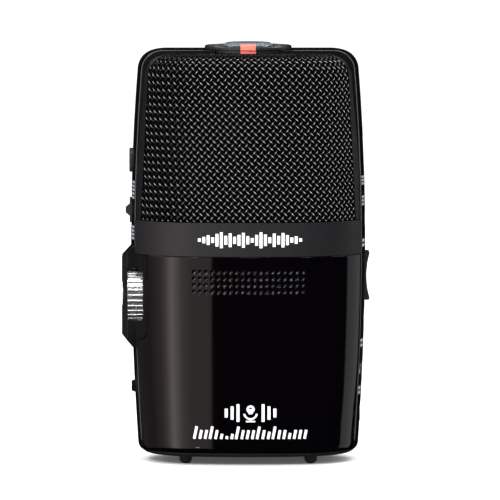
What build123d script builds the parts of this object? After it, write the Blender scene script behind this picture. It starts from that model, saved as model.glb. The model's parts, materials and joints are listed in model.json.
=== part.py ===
from build123d import *
from math import asin, cos, radians, sin, sqrt
import os

os.makedirs("parts", exist_ok=True)

# Handheld voice recorder, standing upright. Millimetres, +Z up, origin under the middle of the
# body on the surface that the four feet stand on. -Y is the speaker face, +Y the display face.

# ---------------------------------------------------------------- driving dimensions: the body
base_z = 2.2
waist_z = 60.0
roof_z = 112.3
base_half_width = 29.9
waist_half_width = 32.0
roof_half_width = 29.7
base_half_depth = 20.4
waist_half_depth = 21.35
roof_half_depth = 20.6
side_crown = 1.1
face_radius = 90.0
face_half = 14.5
roof_round = 5.5
base_round = 3.0

half_depths = (base_half_depth, waist_half_depth, roof_half_depth)

frame_half_depth = 7.75
seam = 0.15
cover_wall = 1.8
frame_wall = 2.2
running_gap = 0.05

# The base moulding closes the body from below, up to a seam on its bottom rounding.
base_top_z = 3.3
plinth_top_z = 4.6
cover_bottom_z = base_top_z + seam
cover_edge_y = frame_half_depth + seam

# The trim band between the covers and the grilles.
band_bottom_z = 56.95
band_top_z = 66.1

# The woven grilles, their black rims and the cloth behind them.
grille_roof_z = 111.6
grille_round = 6.5
rim_inset = 0.35
grille_inset = 0.45
grille_thickness = 0.9
cloth_inset = 1.7
cloth_thickness = 0.3
rim_bottom_z = band_top_z + seam
grille_foot_half = 29.3
grille_corner_x = 21.0
grille_corner_z = 104.9
grille_corner_radius = 6.3
grille_top_half = 21.9
rim_top_lip = 1.2

# Mode dial on the roof.
dial_floor_z = 111.15
dial_recess_radius = 11.75
drum_radius = 11.3
drum_bottom_z = 111.5
flange_radius = 11.85
flange_bottom_z = 112.45
flange_top_z = 113.35
cap_radius = 7.15
cap_top_radius = 5.85
cap_top_z = 114.15
dial_shaft_radius = 1.5
pointer_width = 4.3
pointer_top_z = 114.0
pointer_reach = 12.1
pointer_foot_reach = 11.45

# Gain wheel, lying on an axis along X, in a pocket behind a hexagonal guard on the -X side.
wheel_z = 45.9
wheel_radius = 8.6
wheel_outer_x = -32.83
wheel_inner_x = -28.7
wheel_boss_x = -33.9
wheel_boss_radius = 5.9
guard_window_radius = 6.2
wheel_ridges = 36
wheel_pocket_radius = 9.0
wheel_slot_bottom_z = 38.8
wheel_slot_top_z = 53.0
axle_radius = 1.5
bridge_outer_x = -28.4
bridge_inner_x = -27.2
guard_face_x = -34.45
guard_inner_x = -32.95
guard_bottom_z = 31.3
guard_top_z = 58.9
bezel_x = -27.5
bezel_bottom_z = 33.5

# Side controls.
menu_z = 82.0
menu_height = 6.6
power_z = 68.4
power_travel = 1.2
rocker_z = 50.5
rocker_height = 13.3

# Card door on the -X side and its leaning hinge line.
door_bottom_z = 5.9
door_top_z = 30.5
door_wall = 1.6
door_hinge_y = 5.4
door_pin_radius = 0.6
door_hinge_depth = 0.95

# Sockets on the +X side.
line_in_z = 38.5
phones_z = 13.5
remote_z = 66.0
usb_z = 84.5

# Speaker holes in the battery cover.
hole_columns = 19
hole_rows = 4
hole_pitch_x = 1.635
hole_pitch_z = 1.78
hole_rim_radius = 0.65
hole_radius = 0.15
dish_radius = 0.8
dish_rise = sqrt(dish_radius**2 - hole_rim_radius**2)
speaker_z = 50.1

# Two AA cells, upright side by side.
cell_radius = 7.15
cell_length = 50.5
cell_x = 7.5
cell_y = -6.6
bay_bottom_z = 6.0
bay_top_z = 59.6
contact_thickness = 0.3
spring_height = 2.5

# Display side.
record_z = 17.0
record_radius = 5.5
window_half_width = 18.0
window_bottom_z = 31.5
window_top_z = 53.5

# Tripod thread and feet under the base.
tripod_y = 9.5
tripod_bore_radius = 2.6
tripod_insert_radius = 3.8
foot_x = 17.0
foot_y = 12.0
foot_radius = 1.7


def between(z, base, waist, roof):
    """A size at height z that swells smoothly to its waist value and falls off above and below."""
    if z <= waist_z:
        fall = (waist_z - z) / (waist_z - base_z)
        return waist - (waist - base) * fall**2
    fall = (z - waist_z) / (roof_z - waist_z)
    return waist - (waist - roof) * fall**2


def circles_meet(centre_1, radius_1, centre_2, radius_2):
    """The meeting point of two circles that lies furthest along +X."""
    span_x = centre_2[0] - centre_1[0]
    span_y = centre_2[1] - centre_1[1]
    span = sqrt(span_x**2 + span_y**2)
    along = (span**2 + radius_1**2 - radius_2**2) / (2 * span)
    across = sqrt(radius_1**2 - along**2)
    foot_x = centre_1[0] + along * span_x / span
    foot_y = centre_1[1] + along * span_y / span
    points = [
        (foot_x + side * across * span_y / span, foot_y - side * across * span_x / span)
        for side in (-1, 1)
    ]
    return max(points)


def outline_points(z, inset):
    """One quarter of the plan outline at height z: face middle, face end, corner middle, frame edge, side."""
    half_width = between(z, base_half_width, waist_half_width, roof_half_width)
    half_depth = between(z, base_half_depth, waist_half_depth, roof_half_depth)
    turn = asin(face_half / face_radius)
    face_centre = (0, face_radius - half_depth)
    face_end_y = face_centre[1] - face_radius * cos(turn)
    run_x = half_width - side_crown - face_half
    run_y = -frame_half_depth - face_end_y
    corner_radius = (run_x**2 + run_y**2) / (2 * (run_y * cos(turn) - run_x * sin(turn)))
    corner_centre = (face_half - corner_radius * sin(turn), face_end_y + corner_radius * cos(turn))
    side_radius = (frame_half_depth**2 + side_crown**2) / (2 * side_crown)
    side_centre = (half_width - side_radius, 0)
    edge = circles_meet(corner_centre, corner_radius - inset, side_centre, side_radius - inset)
    if edge[1] > 0:
        edge = (edge[0], -edge[1])
    face_end = (
        face_centre[0] + (face_radius - inset) * sin(turn),
        face_centre[1] - (face_radius - inset) * cos(turn),
    )
    middle_x = (face_end[0] + edge[0]) / 2 - corner_centre[0]
    middle_y = (face_end[1] + edge[1]) / 2 - corner_centre[1]
    reach = (corner_radius - inset) / sqrt(middle_x**2 + middle_y**2)
    corner_middle = (corner_centre[0] + middle_x * reach, corner_centre[1] + middle_y * reach)
    return (0, -half_depth + inset), face_end, corner_middle, edge, (half_width - inset, 0)


def outline_face(z, inset):
    """The body's plan outline at height z, shrunk all round by inset."""
    face, face_end, corner, edge, side = outline_points(z, inset)
    with BuildSketch(Plane.XY.offset(z)) as outline:
        with BuildLine():
            ThreePointArc((-face_end[0], face_end[1]), face, face_end)
            ThreePointArc(face_end, corner, edge)
            ThreePointArc(edge, side, (edge[0], -edge[1]))
            ThreePointArc((edge[0], -edge[1]), (corner[0], -corner[1]), (face_end[0], -face_end[1]))
            ThreePointArc((face_end[0], -face_end[1]), (0, -face[1]), (-face_end[0], -face_end[1]))
            ThreePointArc((-face_end[0], -face_end[1]), (-corner[0], -corner[1]), (-edge[0], -edge[1]))
            ThreePointArc((-edge[0], -edge[1]), (-side[0], 0), (-edge[0], edge[1]))
            ThreePointArc((-edge[0], edge[1]), (-corner[0], corner[1]), (-face_end[0], face_end[1]))
        make_face()
    return outline.sketch


def envelope(inset, roof=roof_z, rounding=roof_round):
    """The body's outer form, shrunk by inset at its sides and roof. A shrunk form runs out below the base."""
    top = roof - inset
    bottom = base_z if inset < seam else base_z - 1
    heights = [bottom, (bottom + waist_z) / 2, waist_z, (top + waist_z) / 2, top]
    sections = [outline_face(height, inset) for height in heights]
    with BuildPart() as form:
        loft(sections)
        fillet(form.edges().group_by(Axis.Z)[-1], rounding - inset)
        if inset < seam:
            fillet(form.edges().group_by(Axis.Z)[0], base_round)
    return form.part


def half_width_at(z):
    """The body's half width at the middle of its side."""
    return between(z, base_half_width, waist_half_width, roof_half_width)


def block(low, high):
    """A box between two opposite corners."""
    size = [high[axis] - low[axis] for axis in range(3)]
    centre = [(high[axis] + low[axis]) / 2 for axis in range(3)]
    return Pos(*centre) * Box(*size, mode=Mode.PRIVATE)


def rod(start, end, radius):
    """A round bar between two points."""
    along = Vector(*end) - Vector(*start)
    bar = Cylinder(radius, along.length, mode=Mode.PRIVATE)
    return Plane(start, z_dir=along) * Pos(0, 0, along.length / 2) * bar


far = 60.0
outer_form = envelope(0)
cover_cavity = envelope(cover_wall)
frame_cavity = envelope(frame_wall)

# ---------------------------------------------------------------- loop frame round the sides and the roof
door_hinge_low = (-(half_width_at(door_bottom_z) - 0.5 - door_hinge_depth), door_hinge_y, door_bottom_z)
door_hinge_high = (-(half_width_at(door_top_z) - 0.5 - door_hinge_depth), door_hinge_y, door_top_z)
hinge_line = (Vector(*door_hinge_high) - Vector(*door_hinge_low)).normalized()
door_pin_low = Vector(*door_hinge_low) - hinge_line * 1.3
door_pin_high = Vector(*door_hinge_high) + hinge_line * 1.3

with BuildPart() as loop_frame:
    add(outer_form)
    add(frame_cavity, mode=Mode.SUBTRACT)
    add(block((-far, -frame_half_depth, cover_bottom_z), (far, frame_half_depth, roof_z)), mode=Mode.INTERSECT)
    # A thicker roof under the dial, with the dial's recess and shaft hole.
    add(block((-15, -frame_half_depth, dial_floor_z - 2.2), (15, frame_half_depth, dial_floor_z)))
    add(rod((0, 0, dial_floor_z), (0, 0, roof_z + 1), dial_recess_radius), mode=Mode.SUBTRACT)
    add(rod((0, 0, 105), (0, 0, roof_z), dial_shaft_radius + running_gap), mode=Mode.SUBTRACT)
    # The wall behind the gain wheel, the wheel's pocket and the hole for its axle.
    add(block((-30.5, -frame_half_depth, 34), (bridge_inner_x, frame_half_depth, 58)))
    add(rod((-far, 0, wheel_z), (bridge_outer_x, 0, wheel_z), wheel_pocket_radius), mode=Mode.SUBTRACT)
    add(block((-far, -far, wheel_slot_bottom_z), (bridge_outer_x, far, wheel_slot_top_z)), mode=Mode.SUBTRACT)
    add(rod((-far, 0, wheel_z), (-20, 0, wheel_z), axle_radius + running_gap), mode=Mode.SUBTRACT)
    # Menu button hole, power slider recess and slot.
    with BuildSketch(Plane.YZ) as menu_hole:
        with Locations((0, menu_z)):
            SlotOverall(menu_height + 0.5, 4.1, rotation=90)
    extrude(amount=-far, mode=Mode.SUBTRACT)
    recess_half = 3.35 + power_travel + 0.2
    recess_x = -half_width_at(power_z) + 0.5
    add(block((-far, -2.3, power_z - recess_half), (recess_x, 2.3, power_z + recess_half)), mode=Mode.SUBTRACT)
    add(block((-far, -1.2, power_z - 3.0), (-20, 1.2, power_z + 3.0)), mode=Mode.SUBTRACT)
    # Card door opening, with bosses for the door's hinge pins.
    opening_low = (-far, -6.3, door_bottom_z - 0.2)
    opening_high = (-20, door_hinge_y + 1.7, door_top_z + 0.2)
    add(block(opening_low, opening_high), mode=Mode.SUBTRACT)
    add(rod(door_pin_low - hinge_line * 0.2, door_pin_high + hinge_line * 0.2, door_pin_radius + running_gap),
        mode=Mode.SUBTRACT)
    # Volume rocker opening, with two ears inside for its pin.
    rocker_half = rocker_height / 2
    add(block((20, -3.1, rocker_z - rocker_half - 0.35), (far, 3.1, rocker_z + rocker_half + 0.35)),
        mode=Mode.SUBTRACT)
    for side in (-1, 1):
        add(block((26.6, min(side * 3.2, side * 4.6), rocker_z - 2), (30.4, max(side * 3.2, side * 4.6), rocker_z + 2)))
    add(rod((28.2, -5, rocker_z), (28.2, 5, rocker_z), 0.8 + running_gap), mode=Mode.SUBTRACT)
    # Holes for the sockets.
    for jack_z, jack_radius in ((line_in_z, 3.0), (phones_z, 3.0), (remote_z, 2.5)):
        add(rod((20, 0, jack_z), (far, 0, jack_z), jack_radius), mode=Mode.SUBTRACT)
    add(block((20, -1.8, usb_z - 4.1), (far, 1.8, usb_z + 4.1)), mode=Mode.SUBTRACT)
loop_frame.part.label = "loop_frame"
export_step(loop_frame.part, "parts/loop_frame.step")

# ---------------------------------------------------------------- base plate with its plinth
screw_spots = [(x, y) for x in (-22.5, 22.5) for y in (-8.5, 8.5)]

# The plate's rim carries on the covers' bottom rounding below the seam.
plate_heights = [base_z, base_z + 0.4, base_top_z]
plate_sections = []
for height in plate_heights:
    rounding_inset = base_round - sqrt(base_round**2 - (base_round - height + base_z) ** 2)
    plate_sections.append(outline_face(height, min(rounding_inset, base_round - 0.3)))
plinth_outline = outline_face(base_top_z, frame_wall + 0.3)

with BuildPart() as base_plate:
    loft(plate_sections)
    extrude(plinth_outline, amount=plinth_top_z - base_top_z)
    with Locations(Plane.XY.offset(base_z).reverse()):
        with Locations((0, -tripod_y)):
            Hole(tripod_insert_radius, 5)
    for x, y in screw_spots:
        add(rod((x, y, 0), (x, y, 3.0), 1.9), mode=Mode.SUBTRACT)
        add(rod((x, y, 2.0), (x, y, 5.0), 1.0), mode=Mode.SUBTRACT)
base_plate.part.label = "base_plate"
export_step(base_plate.part, "parts/base_plate.step")

# ---------------------------------------------------------------- covers and trim bands
def bezel_outline(shrink):
    """The wheel bezel's place on both faces, with a rounded lower corner."""
    with BuildPart() as outline:
        with BuildSketch(Plane.XZ):
            with Locations(((bezel_x - far - shrink) / 2, (bezel_bottom_z + far + shrink) / 2)):
                RectangleRounded(far + bezel_x - shrink, far - bezel_bottom_z - shrink, 2.4)
        extrude(amount=far, both=True)
    return outline.part


bezel_notch = bezel_outline(0)
bezel_form = bezel_outline(seam)

with BuildPart() as battery_cover:
    add(outer_form)
    add(cover_cavity, mode=Mode.SUBTRACT)
    add(block((-far, -far, cover_bottom_z), (far, -cover_edge_y, band_bottom_z - seam)), mode=Mode.INTERSECT)
    add(bezel_notch, mode=Mode.SUBTRACT)
    # Rows of dished speaker holes.
    for column in range(hole_columns):
        hole_x = (column - (hole_columns - 1) / 2) * hole_pitch_x
        face_y = -sqrt(face_radius**2 - hole_x**2) + face_radius - between(speaker_z, *half_depths)
        for row in range(hole_rows):
            hole_z = speaker_z + (row - (hole_rows - 1) / 2) * hole_pitch_z
            add(rod((hole_x, face_y - 1, hole_z), (hole_x, face_y + 3, hole_z), hole_radius), mode=Mode.SUBTRACT)
            with Locations((hole_x, face_y - dish_rise, hole_z)):
                Sphere(dish_radius, mode=Mode.SUBTRACT)
battery_cover.part.label = "battery_cover"
export_step(battery_cover.part, "parts/battery_cover.step")

with BuildPart() as rear_shell:
    add(outer_form)
    add(cover_cavity, mode=Mode.SUBTRACT)
    add(block((-far, cover_edge_y, cover_bottom_z), (far, far, band_bottom_z - seam)), mode=Mode.INTERSECT)
    add(bezel_notch, mode=Mode.SUBTRACT)
    with BuildSketch(Plane.XZ):
        with Locations((0, (window_bottom_z + window_top_z) / 2)):
            RectangleRounded(2 * window_half_width, window_top_z - window_bottom_z, 2.5)
        with Locations((0, record_z)):
            Circle(record_radius + 0.35)
    extrude(amount=-far, mode=Mode.SUBTRACT)
rear_shell.part.label = "rear_shell"
export_step(rear_shell.part, "parts/rear_shell.step")

with BuildPart() as front_trim_band:
    add(outer_form)
    add(cover_cavity, mode=Mode.SUBTRACT)
    add(block((-far, -far, band_bottom_z), (far, -cover_edge_y, band_top_z)), mode=Mode.INTERSECT)
front_trim_band.part.label = "front_trim_band"
export_step(front_trim_band.part, "parts/front_trim_band.step")

led_spots = [(x, 61.0) for x in (-13.5, -4.5, 4.5, 13.5)]
led_radius = 0.8

with BuildPart() as rear_trim_band:
    add(outer_form)
    add(cover_cavity, mode=Mode.SUBTRACT)
    add(block((-far, cover_edge_y, band_bottom_z), (far, far, band_top_z)), mode=Mode.INTERSECT)
    for x, z in led_spots:
        add(rod((x, 10, z), (x, 30, z), led_radius + running_gap), mode=Mode.SUBTRACT)
rear_trim_band.part.label = "rear_trim_band"
export_step(rear_trim_band.part, "parts/rear_trim_band.step")

with BuildPart() as mode_led_lenses:
    for x, z in led_spots:
        add(rod((x, 16.0, z), (x, 30, z), led_radius))
    add(outer_form, mode=Mode.INTERSECT)
mode_led_lenses.part.label = "mode_led_lenses"
export_step(mode_led_lenses.part, "parts/mode_led_lenses.step")

with BuildPart() as display_window:
    with BuildSketch(Plane.XZ):
        with Locations((0, (window_bottom_z + window_top_z) / 2)):
            RectangleRounded(2 * window_half_width - 0.2, window_top_z - window_bottom_z - 0.2, 2.4)
    extrude(amount=-far)
    add(outer_form, mode=Mode.INTERSECT)
    add(cover_cavity, mode=Mode.SUBTRACT)
display_window.part.label = "display_window"
export_step(display_window.part, "parts/display_window.step")

# ---------------------------------------------------------------- grilles, their rims and the cloth inside
rim_outer = envelope(rim_inset, grille_roof_z, grille_round)
rim_inner = envelope(rim_inset + 1.6, grille_roof_z, grille_round)
mesh_outer = envelope(grille_inset, grille_roof_z, grille_round)
mesh_inner = envelope(grille_inset + grille_thickness, grille_roof_z, grille_round)
cloth_outer = envelope(cloth_inset, grille_roof_z, grille_round)
cloth_inner = envelope(cloth_inset + cloth_thickness, grille_roof_z, grille_round)


def grille_opening(shrink):
    """The grille's outline, drawn from the front and run through the body behind the rim's top lip."""
    corner_radius = grille_corner_radius - shrink
    shoulder_half = grille_corner_x + corner_radius
    slant_x = grille_corner_x + corner_radius * cos(radians(45))
    slant_z = grille_corner_z + corner_radius * sin(radians(45))
    top_half = grille_top_half - shrink
    top_z = grille_corner_z + sqrt(corner_radius**2 - (top_half - grille_corner_x) ** 2)
    with BuildPart() as opening:
        with BuildSketch(Plane.XZ):
            with BuildLine():
                Line((-shoulder_half, grille_corner_z), (-grille_foot_half + shrink, rim_bottom_z - 1))
                Line((-grille_foot_half + shrink, rim_bottom_z - 1), (grille_foot_half - shrink, rim_bottom_z - 1))
                Line((grille_foot_half - shrink, rim_bottom_z - 1), (shoulder_half, grille_corner_z))
                ThreePointArc((shoulder_half, grille_corner_z), (slant_x, slant_z), (top_half, top_z))
                Line((top_half, top_z), (top_half, roof_z + 1))
                Line((top_half, roof_z + 1), (-top_half, roof_z + 1))
                Line((-top_half, roof_z + 1), (-top_half, top_z))
                ThreePointArc((-top_half, top_z), (-slant_x, slant_z), (-shoulder_half, grille_corner_z))
            make_face()
        extrude(amount=far, both=True)
        lip_y = cover_edge_y + rim_top_lip + shrink
        add(block((-far, -lip_y, 0), (far, lip_y, far * 2)), mode=Mode.SUBTRACT)
    return opening.part


rim_opening = grille_opening(0)
mesh_opening = grille_opening(0.15)


def grille_half(outer, inner, opening, side, opening_mode):
    """One face's share of a shell between two forms, trimmed by the grille's outline."""
    with BuildPart() as half:
        add(outer)
        add(inner, mode=Mode.SUBTRACT)
        near = min(side * cover_edge_y, side * far)
        add(block((-far, near, rim_bottom_z), (far, near + far - cover_edge_y, far * 2)), mode=Mode.INTERSECT)
        add(opening, mode=opening_mode)
    return half.part


grille_sets = [
    ("grille_rim", rim_outer, rim_inner, rim_opening, Mode.SUBTRACT),
    ("grille", mesh_outer, mesh_inner, mesh_opening, Mode.INTERSECT),
    ("acoustic_cloth", cloth_outer, cloth_inner, mesh_opening, Mode.INTERSECT),
]
for face, side in (("front", -1), ("rear", 1)):
    for kind, outer, inner, opening, opening_mode in grille_sets:
        with BuildPart() as grille_piece:
            add(grille_half(outer, inner, opening, side, opening_mode))
        grille_piece.part.label = face + "_" + kind
        export_step(grille_piece.part, "parts/" + face + "_" + kind + ".step")

# ---------------------------------------------------------------- gain wheel guard and bezels
with BuildPart() as wheel_guard:
    with BuildSketch(Plane.XZ):
        with BuildLine():
            Polyline(
                (guard_face_x, 34.8),
                (guard_face_x, 55.9),
                (-31.6, guard_top_z),
                (-29.0, guard_top_z),
                (-29.0, guard_bottom_z),
                (-31.4, guard_bottom_z),
                close=True,
            )
        make_face()
    extrude(amount=frame_half_depth, both=True)
    chamfer(wheel_guard.edges().filter_by(Axis.Z).sort_by(Axis.X)[:2], 1.6, 2.6)
    add(outer_form, mode=Mode.SUBTRACT)
    add(rod((guard_inner_x, 0, wheel_z), (-20, 0, wheel_z), wheel_pocket_radius), mode=Mode.SUBTRACT)
    add(block((guard_inner_x, -far, wheel_slot_bottom_z), (-20, far, wheel_slot_top_z)), mode=Mode.SUBTRACT)
    add(rod((-far, 0, wheel_z), (-30, 0, wheel_z), guard_window_radius), mode=Mode.SUBTRACT)
wheel_guard.part.label = "wheel_guard"
export_step(wheel_guard.part, "parts/wheel_guard.step")

for face, side in (("front", -1), ("rear", 1)):
    with BuildPart() as wheel_bezel:
        add(outer_form)
        add(cover_cavity, mode=Mode.SUBTRACT)
        near = min(side * cover_edge_y, side * far)
        add(block((-far, near, 0), (far, near + far - cover_edge_y, band_bottom_z - seam)), mode=Mode.INTERSECT)
        add(bezel_form, mode=Mode.INTERSECT)
        with BuildSketch(Plane.XZ):
            with Locations((-30 - 10, (wheel_slot_bottom_z + wheel_slot_top_z) / 2)):
                RectangleRounded(20 + 2 * (30 - 28.5), wheel_slot_top_z - wheel_slot_bottom_z, 1.5)
        extrude(amount=far, both=True, mode=Mode.SUBTRACT)
        add(rod((-far, 0, wheel_z), (bridge_outer_x, 0, wheel_z), wheel_pocket_radius), mode=Mode.SUBTRACT)
    wheel_bezel.part.label = face + "_wheel_bezel"
    export_step(wheel_bezel.part, "parts/" + face + "_wheel_bezel.step")

# ---------------------------------------------------------------- mode dial on the roof
with BuildPart() as mode_dial:
    add(rod((0, 0, drum_bottom_z), (0, 0, flange_bottom_z), drum_radius))
    with BuildSketch(Plane.XY.offset(flange_bottom_z)):
        Circle(flange_radius)
    extrude(amount=flange_top_z - flange_bottom_z)
    chamfer(mode_dial.edges().group_by(Axis.Z)[-1], 0.25)
    add(rod((0, 0, 104.6), (0, 0, drum_bottom_z), dial_shaft_radius))
    add(block((-pointer_width / 2, -far, drum_bottom_z - 1), (pointer_width / 2, -9.0, far * 2)), mode=Mode.SUBTRACT)
mode_dial.part.label = "mode_dial"
export_step(mode_dial.part, "parts/mode_dial.step")

with BuildPart() as dial_cap:
    with BuildSketch(Plane.XY.offset(flange_top_z)):
        Circle(cap_radius)
    with BuildSketch(Plane.XY.offset(cap_top_z)):
        Circle(cap_top_radius)
    loft()
    with BuildSketch(Plane.XY.offset(flange_top_z + 0.12)):
        with PolarLocations(cap_radius + 0.15, 28):
            Circle(0.45)
    extrude(amount=1, mode=Mode.SUBTRACT)
dial_cap.part.label = "dial_cap"
export_step(dial_cap.part, "parts/dial_cap.step")

with BuildPart() as dial_pointer:
    half = pointer_width / 2 - running_gap
    with BuildSketch(Plane.XY.offset(drum_bottom_z)):
        Circle(pointer_foot_reach)
    extrude(amount=flange_bottom_z - drum_bottom_z)
    with BuildSketch(Plane.XY.offset(flange_bottom_z)):
        Circle(pointer_reach)
    extrude(amount=pointer_top_z - flange_bottom_z)
    add(block((-half, -far, 0), (half, -9.05, far * 2)), mode=Mode.INTERSECT)
    fillet(dial_pointer.edges().group_by(Axis.Z)[-1].sort_by(Axis.Y)[0], 0.5)
dial_pointer.part.label = "dial_pointer"
export_step(dial_pointer.part, "parts/dial_pointer.step")

# The rotary switch that the dial turns, hung under the roof.
with BuildPart() as mode_switch:
    add(block((-7, -6.2, 103.4), (7, 6.2, 108.4)))
    add(rod((0, 0, 103.9), (0, 0, 109), dial_shaft_radius + running_gap), mode=Mode.SUBTRACT)
    for x in (-5, -2.5, 0, 2.5, 5):
        for y in (-4.5, 4.5):
            add(rod((x, y, 101.8), (x, y, 103.4), 0.3))
mode_switch.part.label = "mode_switch"
export_step(mode_switch.part, "parts/mode_switch.step")

# ---------------------------------------------------------------- gain wheel and its potentiometer
with BuildPart() as gain_wheel:
    with BuildSketch(Plane.YZ.offset(wheel_outer_x)):
        with Locations((0, wheel_z)):
            Circle(wheel_radius)
            with PolarLocations(wheel_radius + 0.12, wheel_ridges):
                Circle(0.48, mode=Mode.SUBTRACT)
    extrude(amount=wheel_inner_x - wheel_outer_x)
    # The numbered boss in the guard's window, and the axle.
    add(rod((wheel_boss_x, 0, wheel_z), (wheel_outer_x, 0, wheel_z), wheel_boss_radius))
    add(rod((wheel_inner_x, 0, wheel_z), (-23.0, 0, wheel_z), axle_radius))
gain_wheel.part.label = "gain_wheel"
export_step(gain_wheel.part, "parts/gain_wheel.step")

with BuildPart() as gain_potentiometer:
    add(rod((-27.0, 0, wheel_z), (-21.5, 0, wheel_z), 5.0))
    add(block((-25.5, -4.5, wheel_z - 8), (-24.3, 4.5, wheel_z)))
    add(rod((-28, 0, wheel_z), (-22.7, 0, wheel_z), axle_radius + running_gap), mode=Mode.SUBTRACT)
gain_potentiometer.part.label = "gain_potentiometer"
export_step(gain_potentiometer.part, "parts/gain_potentiometer.step")

# ---------------------------------------------------------------- buttons, slider and rocker
with BuildPart() as record_button:
    with BuildSketch(Plane.XZ.offset(-18.0)):
        with Locations((0, record_z)):
            Circle(record_radius)
    extrude(amount=-3.6)
    fillet(record_button.edges().group_by(Axis.Y)[-1], 0.6)
    add(rod((0, 17.1, record_z), (0, 18.0, record_z), record_radius + 1.0))
record_button.part.label = "record_button"
export_step(record_button.part, "parts/record_button.step")

with BuildPart() as menu_button:
    menu_face_x = half_width_at(menu_z) + 0.85
    with BuildSketch(Plane.YZ.offset(-menu_face_x)):
        with Locations((0, menu_z)):
            SlotOverall(menu_height, 3.6, rotation=90)
    extrude(amount=menu_face_x - 29.0)
    fillet(menu_button.edges().group_by(Axis.X)[0], 0.4)
    add(block((-29.0, -2.6, menu_z - 4.2), (-28.4, 2.6, menu_z + 4.2)))
menu_button.part.label = "menu_button"
export_step(menu_button.part, "parts/menu_button.step")

with BuildPart() as power_slider:
    slider_face_x = -half_width_at(power_z) - 0.4
    add(block((slider_face_x, -2.0, power_z - 3.35), (slider_face_x + 0.75, 2.0, power_z + 3.35)))
    with BuildSketch(Plane.XZ):
        with BuildLine():
            Polyline(
                (slider_face_x, power_z - 1.6),
                (slider_face_x - 1.1, power_z - 0.7),
                (slider_face_x - 1.1, power_z + 0.7),
                (slider_face_x, power_z + 1.6),
                close=True,
            )
        make_face()
    extrude(amount=1.8, both=True)
    add(block((slider_face_x + 0.75, -0.9, power_z - 1.5), (-28.2, 0.9, power_z + 1.5)))
power_slider.part.label = "power_slider"
export_step(power_slider.part, "parts/power_slider.step")

with BuildPart() as volume_rocker:
    rocker_end_x = half_width_at(rocker_z) + 1.35
    with BuildSketch(Plane.XZ):
        with BuildLine():
            Polyline(
                (rocker_end_x, rocker_z - rocker_half),
                (29.0, rocker_z - rocker_half),
                (29.0, rocker_z + rocker_half),
                (rocker_end_x, rocker_z + rocker_half),
            )
            ThreePointArc(
                (rocker_end_x, rocker_z + rocker_half),
                (rocker_end_x - 1.0, rocker_z),
                (rocker_end_x, rocker_z - rocker_half),
            )
        make_face()
    extrude(amount=2.8, both=True)
    fillet(volume_rocker.edges().filter_by(Axis.Y).group_by(Axis.X)[-1], 0.5)
    add(block((27.0, -2.8, rocker_z - 1.3), (29.0, 2.8, rocker_z + 1.3)))
    add(rod((28.2, -4.4, rocker_z), (28.2, 4.4, rocker_z), 0.8))
volume_rocker.part.label = "volume_rocker"
export_step(volume_rocker.part, "parts/volume_rocker.step")

with BuildPart() as side_switches_left:
    add(block((-24.2, -4.5, 63.5), (-23.2, 5.5, 88)))
    add(block((-28.0, -2.4, power_z - 4.2), (-24.2, 2.4, power_z + 4.2)))
    add(block((-26.6, -2.2, menu_z - 2.2), (-24.2, 2.2, menu_z + 2.2)))
    add(rod((-27.6, 0, menu_z), (-26.6, 0, menu_z), 1.0))
side_switches_left.part.label = "side_switches_left"
export_step(side_switches_left.part, "parts/side_switches_left.step")

with BuildPart() as volume_switches:
    add(block((22.5, -4.5, rocker_z - 8), (23.5, 5.5, rocker_z + 8)))
    for z in (rocker_z - 4.6, rocker_z + 4.6):
        add(block((23.5, -2.2, z - 2.2), (26.0, 2.2, z + 2.2)))
        add(rod((26.0, 0, z), (28.4, 0, z), 1.0))
volume_switches.part.label = "volume_switches"
export_step(volume_switches.part, "parts/volume_switches.step")

with BuildPart() as record_switch:
    add(block((-3, 11.7, record_z - 3), (3, 15.0, record_z + 3)))
    add(rod((0, 15.0, record_z), (0, 16.2, record_z), 1.5))
record_switch.part.label = "record_switch"
export_step(record_switch.part, "parts/record_switch.step")

# ---------------------------------------------------------------- card door, card and card socket
door_cavity = envelope(door_wall)
lip_z = 20.6
lip_x = -half_width_at(lip_z)

with BuildPart() as sd_door:
    add(outer_form)
    add(block((-far, -6.1, door_bottom_z), (-20, door_hinge_y + 0.8, door_top_z)), mode=Mode.INTERSECT)
    add(door_cavity, mode=Mode.SUBTRACT)
    # The hinge pins, one at each end of a knuckle along the hinge line.
    add(rod(door_pin_low, door_pin_high, door_pin_radius))
    # The finger lip.
    with BuildSketch(Plane.XZ.offset(3.6)):
        with BuildLine():
            Polyline(
                (lip_x + 1.2, lip_z - 2.0),
                (lip_x - 0.8, lip_z - 1.3),
                (lip_x - 0.8, lip_z + 1.3),
                (lip_x + 1.2, lip_z + 2.0),
                close=True,
            )
        make_face()
    extrude(amount=2.3)
sd_door.part.label = "sd_door"
export_step(sd_door.part, "parts/sd_door.step")

with BuildPart() as sd_card:
    with BuildSketch(Plane.XZ.offset(-4.6)):
        Polygon((-27.1, 6.3), (4.9, 6.3), (4.9, 26.3), (0.9, 30.3), (-27.1, 30.3), align=None)
    extrude(amount=2.1)
sd_card.part.label = "sd_card"
export_step(sd_card.part, "parts/sd_card.step")

with BuildPart() as sd_socket:
    add(block((-25.6, 2.0, 5.6), (6.2, 5.6, 31.0)))
    add(block((-25.7, 2.45, 6.2), (5.0, 4.65, 30.4)), mode=Mode.SUBTRACT)
sd_socket.part.label = "sd_socket"
export_step(sd_socket.part, "parts/sd_socket.step")

# ---------------------------------------------------------------- battery bay, cells and contacts
bay_half = 14.8
tray_half = 15.6
tray_back_y = 1.8
bay_back_y = 0.9

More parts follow.
